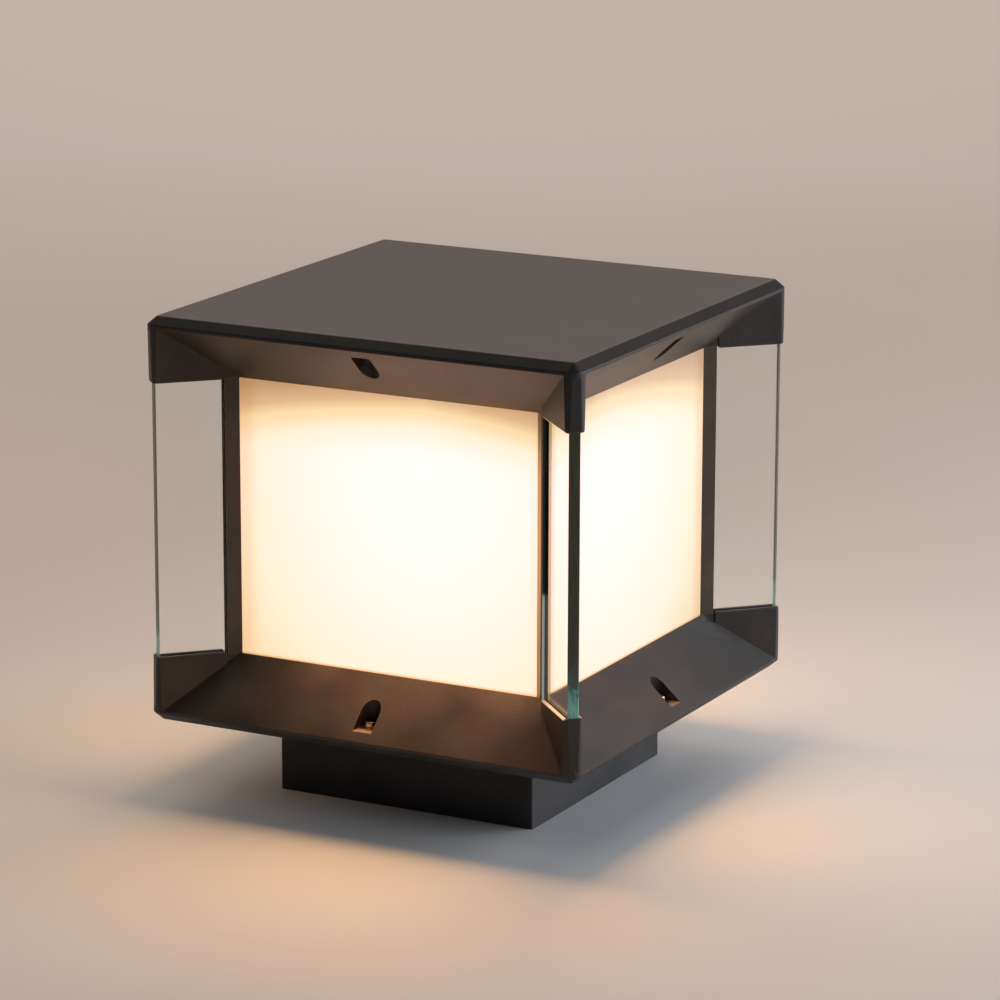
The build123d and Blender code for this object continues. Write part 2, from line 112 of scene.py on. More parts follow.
def speckle(finish, place, scale, detail=2.0, rough=0.5):
    """Soft random spots, scale to the metre."""
    return lay(finish, "TexNoise", "Fac", {
        "Vector": place, "Scale": scale, "Detail": detail, "Roughness": rough})


def spread(finish, noise, low, high):
    """A noise stretched between two levels."""
    return graded(finish, noise, NOISE_LOW, NOISE_HIGH, low, high)


def clouded(finish, noise, dark, light):
    """Two colours that drift into each other with a noise."""
    return ramp(finish, noise, (NOISE_LOW, dark), (NOISE_HIGH, light))


def bumped(finish, height, strength, depth, **base):
    """A surface raised and sunk by a pattern, over its own normal or another one."""
    return lay(finish, "Bump", "Normal", {"Height": height, "Strength": strength, "Distance": depth, **base})


def dress(names, finish):
    """Gives a finish to the CAD nodes of those names."""
    for name in names:
        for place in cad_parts[name].material_slots:
            place.material = finish


def powder_coat(name, dark, light, roughness, gloss, grain_depth, edge_r):
    """Black powder coat: clouded tone, fine grain, rounded edges, and a painted highlight along them."""
    finish, shader = new_finish(name)
    place = object_place(finish)
    clouds = speckle(finish, place, 30.0, 4.0)
    grain = speckle(finish, place, 1150.0, 3.0, 0.65)
    tone = ramp(finish, reckon(finish, "MULTIPLY", clouds, grain), (0.1, dark), (0.42, light))
    rounded = lay(finish, "Bevel", "Normal", {"Radius": edge_r}, samples=4)
    flat = lay(finish, "NewGeometry", "True Normal", {})
    bend = lay(finish, "VectorMath", "Value", {0: rounded, 1: flat}, operation="DOT_PRODUCT")
    # Painted highlight: the base colour is made paler where the rounded normal bends away from the true one,
    # along edges.
    edge = graded(finish, bend, 0.995, 0.90)
    painted_edge_highlight = tuple(EDGE_HIGHLIGHT * part for part in light)
    feed(finish, shader, {
        "Base Color": mix(finish, edge, tone, painted_edge_highlight),
        "Roughness": spread(finish, grain, roughness - 0.1, roughness + 0.1),
        "Specular IOR Level": gloss,
        "Normal": bumped(finish, grain, 0.8, grain_depth, Normal=rounded),
    })
    return finish


foot_coat = powder_coat(
    "foot_powder_coat", dark=(0.006, 0.0058, 0.006), light=(0.034, 0.0328, 0.0338),
    roughness=0.46, gloss=0.36, grain_depth=0.09 * MM, edge_r=0.4 * MM)
dress(["pedestal"], foot_coat)

# Base plate: a square plate with a slanted lower edge, screwed to the pedestal's four pillars and open
# over it. It has the pedestal's coat, with a foam rubber seal in a groove round its upper face. The lid's
# seal is like it.
dress(["base_plate"], foot_coat)

seal_rubber, shader = new_finish("seal_rubber")
pores = speckle(seal_rubber, object_place(seal_rubber), 2600.0)
feed(seal_rubber, shader, {
    "Base Color": clouded(seal_rubber, pores, (0.012, 0.012, 0.012), (0.035, 0.034, 0.033)),
    "Roughness": spread(seal_rubber, pores, 0.75, 0.92),
    "Normal": bumped(seal_rubber, pores, 0.5, 0.1 * MM),
})
dress(["base_gasket", "lid_gasket"], seal_rubber)

# Supply terminals: a cream moulded block with brass clamp screws in its wells, and a brass earth screw
# with a hexagon head, both fixed to the pedestal's floor. The clamp screws have a driver's slot.
NEAR = 0.01 * MM  # heights closer than this are taken as one
CLEAR = 1.0 * MM  # how far a cutter stands out of the piece it cuts


def moulding(name, dark, light, roughness):
    """Moulded plastic: a faint drift of tone and a fine spark-eroded skin."""
    finish, shader = new_finish(name)
    place = object_place(finish)
    drift = speckle(finish, place, 45.0, 3.0)
    skin = speckle(finish, place, 3200.0)
    feed(finish, shader, {
        "Base Color": clouded(finish, drift, dark, light),
        "Roughness": spread(finish, skin, roughness - 0.06, roughness + 0.06),
        "Normal": bumped(finish, skin, 0.25, 0.05 * MM),
    })
    return finish


def bare_metal(name, dark, light, roughness):
    """Plated or bare metal: cloudy tone, with fine rubbed marks in its gloss."""
    finish, shader = new_finish(name)
    place = object_place(finish)
    cloud = speckle(finish, place, 160.0, 4.0, 0.6)
    rubbed = speckle(finish, place, 2400.0, 3.0)
    feed(finish, shader, {
        "Base Color": clouded(finish, cloud, dark, light),
        "Metallic": 1.0,
        "Roughness": spread(finish, rubbed, roughness - 0.08, roughness + 0.1),
        "Normal": bumped(finish, rubbed, 0.15, 0.02 * MM),
    })
    return finish


def pick(piece, kind, test):
    """In edit mode, selects the faces or edges that pass a test, by middle and by normal or run."""
    bpy.ops.mesh.select_mode(type=kind)
    bpy.ops.mesh.select_all(action="DESELECT")
    shape = bmesh.from_edit_mesh(piece.data)
    shape.normal_update()
    for face in shape.faces if kind == "FACE" else ():
        face.select_set(test(face.calc_center_median(), face.normal))
    for edge in shape.edges if kind == "EDGE" else ():
        ends = edge.verts[0].co, edge.verts[1].co
        edge.select_set(test((ends[0] + ends[1]) / 2, ends[1] - ends[0]))
    bmesh.update_edit_mesh(piece.data)


def rim_at(level):
    """A test for the edges at the very top of a piece that ends at a level."""
    return lambda middle, run: middle.z > level - NEAR


def bar(name, sides, radius, low, high):
    """Starts an upright bar on the Z axis and opens it for editing."""
    if bpy.context.mode != "OBJECT":
        bpy.ops.object.mode_set(mode="OBJECT")
    bpy.ops.object.select_all(action="DESELECT")
    bpy.ops.mesh.primitive_cylinder_add(
        vertices=sides, radius=radius, depth=high - low, location=(0, 0, (low + high) / 2))
    piece = bpy.context.object
    piece.name = name
    bpy.ops.object.transform_apply()
    bpy.ops.object.mode_set(mode="EDIT")
    return piece


def end_editing(angle=35.0):
    """Leaves the edited piece with outward faces and smooth curves, sharp above an angle."""
    bpy.ops.mesh.select_all(action="SELECT")
    bpy.ops.mesh.normals_make_consistent(inside=False)
    bpy.ops.object.mode_set(mode="OBJECT")
    bpy.ops.object.shade_smooth_by_angle(angle=math.radians(angle))


def cut_away(piece, cutter):
    """Takes a cutter's shape out of a piece and removes the cutter."""
    bpy.ops.object.select_all(action="DESELECT")
    bpy.context.view_layer.objects.active = piece
    piece.select_set(True)
    cut = piece.modifiers.new("cut", "BOOLEAN")
    cut.object = cutter
    cut.operation = "DIFFERENCE"
    cut.solver = "EXACT"
    bpy.ops.object.modifier_apply(modifier="cut")
    bpy.data.objects.remove(cutter, do_unlink=True)


def box_cutter(width, depth, low, high):
    """A plain block on the Z axis for cutting with."""
    bpy.ops.object.select_all(action="DESELECT")
    bpy.ops.mesh.primitive_cube_add(size=1.0, location=(0, 0, (low + high) / 2))
    block = bpy.context.object
    block.scale = (width, depth, high - low)
    bpy.ops.object.transform_apply()
    return block


def join_up(pieces):
    """Makes one object of several and gives it back."""
    bpy.ops.object.select_all(action="DESELECT")
    for piece in pieces:
        piece.select_set(True)
    bpy.context.view_layer.objects.active = pieces[0]
    if len(pieces) > 1:
        bpy.ops.object.join()
    return pieces[0]


def stood(x, y, level, turn, upside_down=False):
    """Where a fastener stands, turned on its own axis, its head up or down."""
    flip = Matrix.Rotation(math.pi if upside_down else 0.0, 4, "X")
    return Matrix.Translation((x, y, level)) @ flip @ Matrix.Rotation(turn, 4, "Z")


def set_out(model, name, spots, body, node, finish):
    """Copies a piece to its places, joins the copies, and lets them stand for the plain ones."""
    copies = []
    for spot in spots:
        copy = model.copy()
        copy.data = model.data.copy()
        copy.data.transform(spot)
        bpy.context.collection.objects.link(copy)
        copies.append(copy)
    bpy.data.objects.remove(model, do_unlink=True)
    whole = join_up(copies)
    whole.name = name
    whole.data.name = name
    whole.data.materials.clear()
    whole.data.materials.append(finish)
    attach(whole, body)
    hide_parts(node)


cream_moulding = moulding("cream_moulding", (0.62, 0.58, 0.49), (0.70, 0.66, 0.57), 0.42)
plain_brass = bare_metal("plain_brass", (0.50, 0.31, 0.10), (0.68, 0.45, 0.17), 0.30)
dress(["terminal_block"], cream_moulding)
dress(["earth_screw"], plain_brass)

low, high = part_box("terminal_screws")
clamp_r, clamp_edge, clamp_turn = 2.3 * MM, 0.4 * MM, 25.0
slot_length, slot_width, slot_depth = 6.0 * MM, 0.8 * MM, 1.2 * MM
clamp = bar("clamp_screw", 32, clamp_r, low.z, high.z)
pick(clamp, "EDGE", rim_at(high.z))
bpy.ops.mesh.bevel(offset=clamp_edge, segments=2, affect="EDGES")
end_editing()
cut_away(clamp, box_cutter(slot_length, slot_width, high.z - slot_depth, high.z + CLEAR))
rows = (low.y + clamp_r, high.y - clamp_r)
poles = (low.x + clamp_r, (low.x + high.x) / 2, high.x - clamp_r)
places = [(x, y) for x in poles for y in rows]
spots = [stood(x, y, 0.0, clamp_turn * n) for n, (x, y) in enumerate(places)]
set_out(clamp, "clamp_screws", spots, "foot", "terminal_screws", plain_brass)

# Countersunk screws: four bright steel screws with a cross recess, flush with the base plate, that hold
# it down on the pedestal's pillars.
bright_steel = bare_metal("bright_steel", (0.55, 0.54, 0.53), (0.74, 0.73, 0.72), 0.17)


def underside(middle, normal):
    """True for a face that looks down."""
    return normal.z < -0.9


def draw_out(length):
    """Draws the selected faces out upwards, or down for a length below nought."""
    bpy.ops.mesh.extrude_region_move(TRANSFORM_OT_translate={"value": (0, 0, length)})


def cross_recess(piece, top, size):
    """Cuts a tapered cross for the driver into a screw's head."""
    wing, depth, taper = size * 0.22, size * 0.42, (0.45, 0.6, 1.0)
    for turn in (0.0, 90.0):
        blade = box_cutter(size, wing, top - depth, top + size)
        bpy.ops.object.mode_set(mode="EDIT")
        pick(blade, "FACE", underside)
        bpy.ops.transform.resize(value=taper)
        bpy.ops.object.mode_set(mode="OBJECT")
        blade.data.transform(Matrix.Rotation(math.radians(turn), 4, "Z"))
        cut_away(piece, blade)


def four_corners(reach):
    """The corners of a square round the Z axis."""
    return [(x, y) for x in (-reach, reach) for y in (-reach, reach)]


low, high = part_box("plate_screws")
sink_r, shank_r, tip_edge, recess = 4.0 * MM, 2.0 * MM, 0.5 * MM, 4.4 * MM
turn_by_x, turn_by_y = 40.0, 17.0
neck = high.z - (sink_r - shank_r)
sunk = bar("sunk_screw", 40, sink_r, neck, high.z)
pick(sunk, "FACE", underside)
bpy.ops.transform.resize(value=(shank_r / sink_r, shank_r / sink_r, 1.0))
draw_out(low.z - neck)
bpy.ops.mesh.bevel(offset=tip_edge, segments=1, affect="EDGES")
end_editing()
cross_recess(sunk, high.z, recess)
spots = [stood(x, y, 0.0, x * turn_by_x + y * turn_by_y) for x, y in four_corners(high.x - sink_r)]
set_out(sunk, "sunk_screws", spots, "foot", "plate_screws", bright_steel)

# Lower and upper frames: two like aluminium castings, one turned over. Each has four sloping faces, slotted
# fins on its corners for the glass, and arched pockets for screws. The pockets' walls and the inner part of
# their floors are painted in shade, and the outer part of their floors is painted lit, as the panels' light
# would reach only there. The front fin's lips glow gold with a painted reflection of the panels' light, and
# its left flank is painted in shade.
frame_coat = powder_coat(
    "frame_powder_coat", dark=(0.0090, 0.0079, 0.0073), light=(0.037, 0.0325, 0.0295),
    roughness=0.46, gloss=0.50, grain_depth=0.12 * MM, edge_r=0.4 * MM)
dress(["base_frame", "top_frame"], frame_coat)


def axes(finish, place):
    """The X, Y and Z of a place."""
    parts = finish.node_tree.nodes.new("ShaderNodeSeparateXYZ")
    feed(finish, parts, {"Vector": place})
    return parts.outputs["X"], parts.outputs["Y"], parts.outputs["Z"]


def absolute(finish, place):
    """A place with its X, Y and Z taken without their signs."""
    return lay(finish, "VectorMath", "Vector", {0: place}, operation="ABSOLUTE")


def straight(finish, across, along):
    """The straight way that two ways at right angles make."""
    place = lay(finish, "CombineXYZ", "Vector", {"X": across, "Y": along})
    return lay(finish, "VectorMath", "Value", {0: place}, operation="LENGTH")


def both(finish, first, second):
    """The product of two values, one where both are one."""
    return reckon(finish, "MULTIPLY", first, second)


low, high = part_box("base_frame")[0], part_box("top_frame")[1]
middle_z, pocket_floor = (low.z + high.z) / 2, low.z + 5.4 * MM
pocket_r, pocket_axis = 5.55 * MM, high.x - 13.7 * MM
floor_off, floor_reach = middle_z - pocket_floor + 0.1 * MM, 0.09 * MM
lit_from, lit_to = pocket_axis + 3.6 * MM, pocket_axis + 5.2 * MM
painted_pocket_shade, painted_floor_shade, painted_floor_light = (0.16, 0.15, 0.15), (0.012, 0.010, 0.009), (0.125, 0.096, 0.062)
wide, deep, height = axes(frame_coat, absolute(frame_coat, object_place(frame_coat)))
aside = reckon(frame_coat, "MINIMUM", wide, deep)
out = reckon(frame_coat, "MAXIMUM", wide, deep)
behind = graded(frame_coat, out, 0.0, pocket_axis, -pocket_axis, 0.0)
in_pocket = reckon(frame_coat, "LESS_THAN", straight(frame_coat, aside, behind), pocket_r)
between_floors = reckon(frame_coat, "COMPARE", height, middle_z, middle_z - pocket_floor)
from_middle = reckon(frame_coat, "ABSOLUTE", reckon(frame_coat, "SUBTRACT", height, middle_z))
on_floor = reckon(frame_coat, "COMPARE", from_middle, floor_off, floor_reach)
shader = frame_coat.node_tree.nodes["Principled BSDF"]
coat = shader.inputs["Base Color"].links[0].from_socket
# Painted shade in the pockets, and painted light and shade on their floors, lit only near the lip.
inside = both(frame_coat, in_pocket, between_floors)
shaded = mix(frame_coat, inside, coat, painted_pocket_shade, "MULTIPLY")
near_lip = graded(frame_coat, out, lit_from, lit_to)
floor_light_and_shade = ramp(frame_coat, near_lip, (0.0, painted_floor_shade), (1.0, painted_floor_light))
floored = mix(frame_coat, both(frame_coat, in_pocket, on_floor), shaded, floor_light_and_shade)

DIAGONAL = math.sqrt(0.5)


def diagonal_end(node):
    """How far out a piece on a corner reaches, along its diagonal."""
    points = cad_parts[node].data.vertices
    return max((abs(point.co.x) + abs(point.co.y)) * DIAGONAL for point in points)


def corner_ways(finish):
    """How far a point lies out along the front corner's diagonal, and how far to the right of it."""
    place = object_place(finish)
    outward, rightward = (
        lay(finish, "VectorMath", "Value", {0: place, 1: (DIAGONAL, y, 0.0)}, operation="DOT_PRODUCT")
        for y in (-DIAGONAL, DIAGONAL))
    return outward, rightward


post_end, pane_end = diagonal_end("corner_post_1"), diagonal_end("corner_glass_1")
fin_lip = middle_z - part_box("base_frame")[1].z
fin_from, fin_half, flank_from = post_end + 0.2 * MM, 6.2 * MM, -4.9 * MM
lip_none, lip_full = fin_lip + 0.9 * MM, fin_lip + 0.5 * MM
end_none, end_full = pane_end + 0.2 * MM, pane_end - 0.8 * MM
lip_aside, lip_half, gleam_half, gleam_run = 4.5 * MM, 0.8 * MM, 4.0 * MM, 12.0 * MM
left_gleam, right_gleam, inner_gleam, outer_gleam = 0.95, 0.45, 0.35, 1.0
painted_flank_shade, fin_glint_colour = (0.42, 0.40, 0.40), (1.0, 0.60, 0.28, 1.0)
outward, rightward = corner_ways(frame_coat)
# Painted light on the front fin: its lips glow gold, a painted reflection of the panels, and its left flank
# is painted in shade.
front_fin = both(
    frame_coat, reckon(frame_coat, "GREATER_THAN", outward, fin_from),
    reckon(frame_coat, "COMPARE", rightward, 0.0, fin_half))
lips = front_fin
for share in (
        graded(frame_coat, from_middle, lip_none, lip_full),
        graded(frame_coat, outward, end_none, end_full),
        reckon(frame_coat, "COMPARE", reckon(frame_coat, "ABSOLUTE", rightward), lip_aside, lip_half)):
    lips = both(frame_coat, lips, share)
flank = both(frame_coat, front_fin, reckon(frame_coat, "LESS_THAN", rightward, flank_from))
gleam = both(
    frame_coat, graded(frame_coat, rightward, -gleam_half, gleam_half, left_gleam, right_gleam),
    graded(frame_coat, outward, post_end, post_end + gleam_run, inner_gleam, outer_gleam))
feed(frame_coat, shader, {
    "Base Color": mix(frame_coat, flank, floored, painted_flank_shade, "MULTIPLY"),
    "Emission Color": fin_glint_colour,
    "Emission Strength": both(frame_coat, lips, gleam),
})

# Cap screws and washers: a socket screw with a rolled grip stands in each pocket on a washer. Four go down
# into the base plate, their steel painted warm as a painted reflection of the panels' light, and four dark
# ones go up into the lid.
# The lower screws' and washers' warm colour is a painted reflection of the panels' light.
warm_lit_steel = bare_metal("warm_lit_steel", (0.75, 0.50, 0.24), (0.95, 0.78, 0.52), 0.15)
black_steel = bare_metal("black_steel", (0.030, 0.029, 0.028), (0.055, 0.053, 0.051), 0.36)
dress(["base_washers"], warm_lit_steel)
dress(["lid_washers"], black_steel)


def wind_up(profile, pitch, turns, steps, **settings):
    """Winds a profile round the Z axis into a thread, and opens it for editing."""
    wind = profile.modifiers.new("wind", "SCREW")
    wind.axis = "Z"
    wind.screw_offset = pitch
    wind.iterations = turns
    wind.steps = steps
    wind.render_steps = steps
    for label, value in settings.items():
        setattr(wind, label, value)
    bpy.ops.object.modifier_apply(modifier="wind")
    bpy.ops.object.mode_set(mode="EDIT")
    bpy.ops.mesh.select_all(action="SELECT")


def four_sides(reach):
    """Four places round the Z axis, one towards each side of the light."""
    return [(reach, 0.0), (0.0, reach), (-reach, 0.0), (0.0, -reach)]


low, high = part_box("base_screws")
head_r, head_h, head_edge = 2.75 * MM, 3.0 * MM, 0.35 * MM
rib_h, rib_gap = 0.06 * MM, 0.09 * MM
thread_r, thread_depth, ridge_r, pitch = 1.5 * MM, 0.2 * MM, 0.24 * MM, 0.5 * MM
key_r, key_depth = 2.5 * MM / math.sqrt(3), 1.5 * MM
seat = high.z - head_h
cap = bar("cap_screw", 40, head_r - rib_h, seat, high.z)
pick(cap, "EDGE", rim_at(high.z))
bpy.ops.mesh.bevel(offset=head_edge, segments=3, affect="EDGES")
pick(cap, "FACE", lambda middle, normal: abs(normal.z) < 0.1)
bpy.ops.mesh.inset(thickness=rib_gap, depth=rib_h, use_individual=True)
pick(cap, "FACE", underside)
bpy.ops.mesh.inset(thickness=head_r - thread_r + thread_depth)
draw_out(low.z - seat)
end_editing()
key = bar("key", 6, key_r, high.z - key_depth, high.z + CLEAR)
bpy.ops.object.mode_set(mode="OBJECT")
cut_away(cap, key)

bpy.ops.object.select_all(action="DESELECT")
bpy.ops.mesh.primitive_circle_add(
    vertices=3, radius=ridge_r, location=(thread_r - thread_depth, 0, low.z + 0.3 * MM),
    rotation=(math.pi / 2, math.pi / 2, 0))
ridge = bpy.context.object
bpy.ops.object.transform_apply()
wind_up(ridge, pitch, int((seat - low.z) / pitch) - 2, 20)
bpy.ops.mesh.fill_holes(sides=4)
end_editing()
join_up([cap, ridge])
cap.data.transform(Matrix.Translation((0, 0, -seat)))

around = four_sides(high.x - head_r)
upper_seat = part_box("lid_screws")[0].z + head_h
lower_spots = [stood(x, y, seat, 0.2 + 3 * x) for x, y in around]
upper_spots = [stood(x, y, upper_seat, 0.4 + 5 * y, upside_down=True) for x, y in around]
upper_cap = cap.copy()
upper_cap.data = cap.data.copy()
bpy.context.collection.objects.link(upper_cap)
set_out(cap, "base_cap_screws", lower_spots, "lamp", "base_screws", warm_lit_steel)
set_out(upper_cap, "lid_cap_screws", upper_spots, "lamp", "lid_screws", black_steel)

# Pan head screws: plain steel screws with a cross recess. Long ones run through the frames into the posts,
# and short ones hold the tray to the lower frame and the strap to the tray.
PAN_TURN = 0.7


def pan_head(name, head_r, head_h, shank_r, length):
    """A pan head screw with its seat at the origin and its shank pointing down."""
    screw = bar(name, 36, head_r, 0.0, head_h)
    pick(screw, "EDGE", rim_at(head_h))
    bpy.ops.mesh.bevel(offset=head_h * 0.5, segments=5, affect="EDGES")
    pick(screw, "FACE", underside)
    bpy.ops.mesh.inset(thickness=head_r - shank_r)
    draw_out(-length)
    bpy.ops.mesh.bevel(offset=shank_r * 0.3, segments=1, affect="EDGES")
    end_editing()
    cross_recess(screw, head_h, head_r * 1.15)
    return screw


def pan_head_set(name, node, head_r, head_h, shank_r, places, upside_down=False):
    """One node's pan head screws, each turned a little differently."""
    low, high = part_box(node)
    seat = low.z + head_h if upside_down else high.z - head_h
    spots = [stood(x, y, seat, PAN_TURN * n, upside_down) for n, (x, y) in enumerate(places)]
    screw = pan_head(name, head_r, head_h, shank_r, high.z - low.z - head_h)
    set_out(screw, name, spots, "lamp", node, bright_steel)


head_r, head_h, shank_r = 3.5 * MM, 2.6 * MM, 2.0 * MM
corners = four_corners(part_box("post_screws_lower")[1].x - head_r)
pan_head_set("lower_post_screws", "post_screws_lower", head_r, head_h, shank_r, corners, upside_down=True)
pan_head_set("upper_post_screws", "post_screws_upper", head_r, head_h, shank_r, corners)
head_r, head_h, shank_r = 2.75 * MM, 2.1 * MM, 1.5 * MM
sides = four_sides(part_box("tray_screws")[1].x - head_r)
pan_head_set("tray_pan_screws", "tray_screws", head_r, head_h, shank_r, sides)
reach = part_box("bracket_screws")[1].x - head_r
pan_head_set("strap_pan_screws", "bracket_screws", head_r, head_h, shank_r, [(-reach, 0.0), (reach, 0.0)])

# Lamp tray and holder strap: the tray is a white enamelled sheet with upturned rims that throws the light
# back up, and the strap is a bent strip of zinc plated sheet that lifts the holder off it.
white_enamel, shader = new_finish("white_enamel")
place = object_place(white_enamel)
drift = speckle(white_enamel, place, 25.0, 4.0)
ripple = speckle(white_enamel, place, 420.0)
feed(white_enamel, shader, {
    "Base Color": clouded(white_enamel, drift, (0.74, 0.73, 0.70), (0.82, 0.81, 0.79)),
    "Roughness": spread(white_enamel, ripple, 0.26, 0.38),
    "Normal": bumped(white_enamel, ripple, 0.3, 0.08 * MM),
})
dress(["lamp_tray"], white_enamel)

zinc_sheet, shader = new_finish("zinc_sheet")
flakes = lay(zinc_sheet, "TexVoronoi", "Color", {"Vector": object_place(zinc_sheet), "Scale": 210.0})
grey = lay(zinc_sheet, "RGBToBW", "Val", {"Color": flakes})
feed(zinc_sheet, shader, {
    "Base Color": ramp(zinc_sheet, grey, (0.1, (0.42, 0.43, 0.44)), (0.9, (0.63, 0.64, 0.65))),
    "Metallic": 1.0,
    "Roughness": spread(zinc_sheet, grey, 0.30, 0.42),
})
dress(["holder_bracket"], zinc_sheet)

# Cable gland: a dark nylon gland that seals the supply cable where it comes up through the tray. Its dome
# nut has a ribbed grip, its body a hexagon, and a locknut holds it from above.
dark_nylon = moulding("dark_nylon", (0.020, 0.020, 0.022), (0.036, 0.036, 0.039), 0.48)
dress(["gland_nut"], dark_nylon)


def side_number(middle, sides):
    """Which side of a many-sided bar a face lies on, counted round from the X axis."""
    return int(math.degrees(math.atan2(middle.y, middle.x)) % 360 / (360 / sides))


def slice_level(level, **settings):
    """Cuts the whole edited piece through at a level."""
    bpy.ops.mesh.select_all(action="SELECT")
    bpy.ops.mesh.bisect(plane_co=(0, 0, level), plane_no=(0, 0, 1), **settings)


def ring_at(level):
    """A test for the edges that run level at a height."""
    return lambda middle, run: abs(middle.z - level) < NEAR and abs(run.z) < NEAR / 10


low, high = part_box("gland_body")
dome_sides, dome_r, dome_h, dome_round = 36, 10.0 * MM, 14.0 * MM, 4.0 * MM
rib_h, rib_gap = 0.5 * MM, 0.25 * MM
hex_r, hex_h, hex_edge = 22.0 * MM / math.sqrt(3), 5.0 * MM, 0.4 * MM
stem_r, stem_step, stem_levels, root_share, bore_r = 8.0 * MM, 1.0 * MM, 9, 0.93, 3.5 * MM
dome = bar("gland", dome_sides, dome_r - rib_h, low.z, low.z + dome_h)
pick(dome, "EDGE", lambda middle, run: middle.z < low.z + NEAR)
bpy.ops.mesh.bevel(offset=dome_round, segments=6, affect="EDGES")
ribs = range(0, dome_sides, 2)
pick(dome, "FACE", lambda middle, normal: abs(normal.z) < 0.05 and side_number(middle, dome_sides) in ribs)
bpy.ops.mesh.inset(thickness=rib_gap, depth=rib_h, use_individual=True)
end_editing()
stem_low = low.z + dome_h + hex_h
body = bar("gland_hex", 6, hex_r, low.z + dome_h, stem_low)
bpy.ops.mesh.select_all(action="SELECT")
bpy.ops.mesh.bevel(offset=hex_edge, segments=2, affect="EDGES")
end_editing()
stem = bar("gland_stem", 40, stem_r, stem_low, high.z)
for level in range(1, stem_levels):
    slice_level(stem_low + level * stem_step)
for level in range(1, stem_levels, 2):
    pick(stem, "EDGE", ring_at(stem_low + level * stem_step))
    bpy.ops.transform.resize(value=(root_share, root_share, 1.0))
end_editing(60.0)
join_up([dome, body, stem])
bore = bar("bore", 32, bore_r, low.z - 2 * CLEAR, high.z + 2 * CLEAR)
bpy.ops.object.mode_set(mode="OBJECT")
cut_away(dome, bore)
spots = [Matrix.Translation((0, (low.y + high.y) / 2, 0))]
set_out(dome, "ribbed_gland", spots, "lamp", "gland_body", dark_nylon)

# Bulb holder: a glazed porcelain socket on the strap, with a brass sleeve for the bulb's thread and a
# sprung brass contact in its floor.
glazed_porcelain, shader = new_finish("glazed_porcelain")
bisque = speckle(glazed_porcelain, object_place(glazed_porcelain), 90.0, 5.0)
feed(glazed_porcelain, shader, {
    "Base Color": clouded(glazed_porcelain, bisque, (0.72, 0.70, 0.65), (0.80, 0.79, 0.75)),
    "Roughness": spread(glazed_porcelain, bisque, 0.10, 0.20),
    "Normal": bumped(glazed_porcelain, bisque, 0.1, 0.1 * MM),
    "Coat Weight": 0.4,
})
dress(["lampholder"], glazed_porcelain)
dress(["holder_shell", "holder_contact"], plain_brass)

# Bulb: a screw-in lamp with a rolled nickel cap, a dark glazed insulator, a brass tip, a white fluted
# housing and an opal globe that glows warm. It turns in the holder and rises on its thread.
nickel = bare_metal("nickel_plate", (0.52, 0.50, 0.46), (0.68, 0.66, 0.62), 0.2)
dress(["bulb_contact"], plain_brass)

black_glaze, shader = new_finish("black_glaze")
flow = speckle(black_glaze, object_place(black_glaze), 300.0, 3.0)
feed(black_glaze, shader, {
    "Base Color": clouded(black_glaze, flow, (0.010, 0.010, 0.011), (0.022, 0.021, 0.022)),
    "Roughness": spread(black_glaze, flow, 0.08, 0.16),
})
dress(["bulb_insulator"], black_glaze)


def close_end(way, level, share):
    """Draws an open rim out to a level, at a share of its width, and closes it with a face."""
    bpy.ops.mesh.extrude_edges_move(TRANSFORM_OT_translate={"value": (0, 0, way)})
    bpy.ops.transform.resize(value=(share, share, 0.0), center_override=(0, 0, level))
    bpy.ops.mesh.edge_face_add()


low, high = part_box("bulb_cap")
depth, thread_pitch, turns, start = 0.9 * MM, 3.63 * MM, 6, 0.4
collar, foot_h, foot_share = 2.0 * MM, 0.6 * MM, 0.93
root_r = high.x - depth
bpy.ops.object.select_all(action="DESELECT")
bpy.ops.mesh.primitive_grid_add(x_subdivisions=1, y_subdivisions=12, size=1.0)
thread = bpy.context.object
thread.name = "bulb_thread"
bpy.ops.object.mode_set(mode="EDIT")
pick(thread, "EDGE", lambda middle, run: middle.x > 0.4)
bpy.ops.mesh.select_all(action="INVERT")
bpy.ops.mesh.delete(type="EDGE")
bpy.ops.object.mode_set(mode="OBJECT")
for point in thread.data.vertices:
    along = point.co.y + 0.5
    wave = 0.5 - 0.5 * math.cos(2 * math.pi * along)
    point.co = (root_r + depth * wave, 0.0, low.z - start * thread_pitch + along * thread_pitch)
wind_up(thread, thread_pitch, turns, 72, use_merge_vertices=True, merge_threshold=0.01 * MM)
bpy.ops.mesh.remove_doubles(threshold=0.005 * MM)
slice_level(low.z + foot_h, clear_inner=True)
close_end(-foot_h, low.z, foot_share)
slice_level(high.z - collar, clear_outer=True)
close_end(collar, high.z, 1.0)
end_editing(50.0)
set_out(thread, "rolled_bulb_cap", [Matrix.Identity(4)], "bulb", "bulb_cap", nickel)

bulb_white = moulding("bulb_white", (0.76, 0.76, 0.74), (0.82, 0.82, 0.80), 0.36)
low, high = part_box("bulb_body")
neck_r, top_r, height = 14.5 * MM, high.x, high.z - low.z
housing_sides, rings, flute_gap, flute_depth = 72, 12, 0.3 * MM, 0.9 * MM
housing = bar("bulb_housing", housing_sides, neck_r, low.z, high.z)
for level in range(1, rings):
    slice_level(low.z + height * level / rings)
for level in range(1, rings + 1):
    share = level / rings
    flare = 1.0 + (top_r / neck_r - 1.0) * (0.35 * share + 0.65 * share * share)
    at = low.z + height * share
    pick(housing, "EDGE", ring_at(at))
    bpy.ops.transform.resize(value=(flare, flare, 1.0), center_override=(0, 0, at))
flutes = range(0, housing_sides, 6)
flute_low, flute_high = low.z + height * 0.2, low.z + height * 0.72


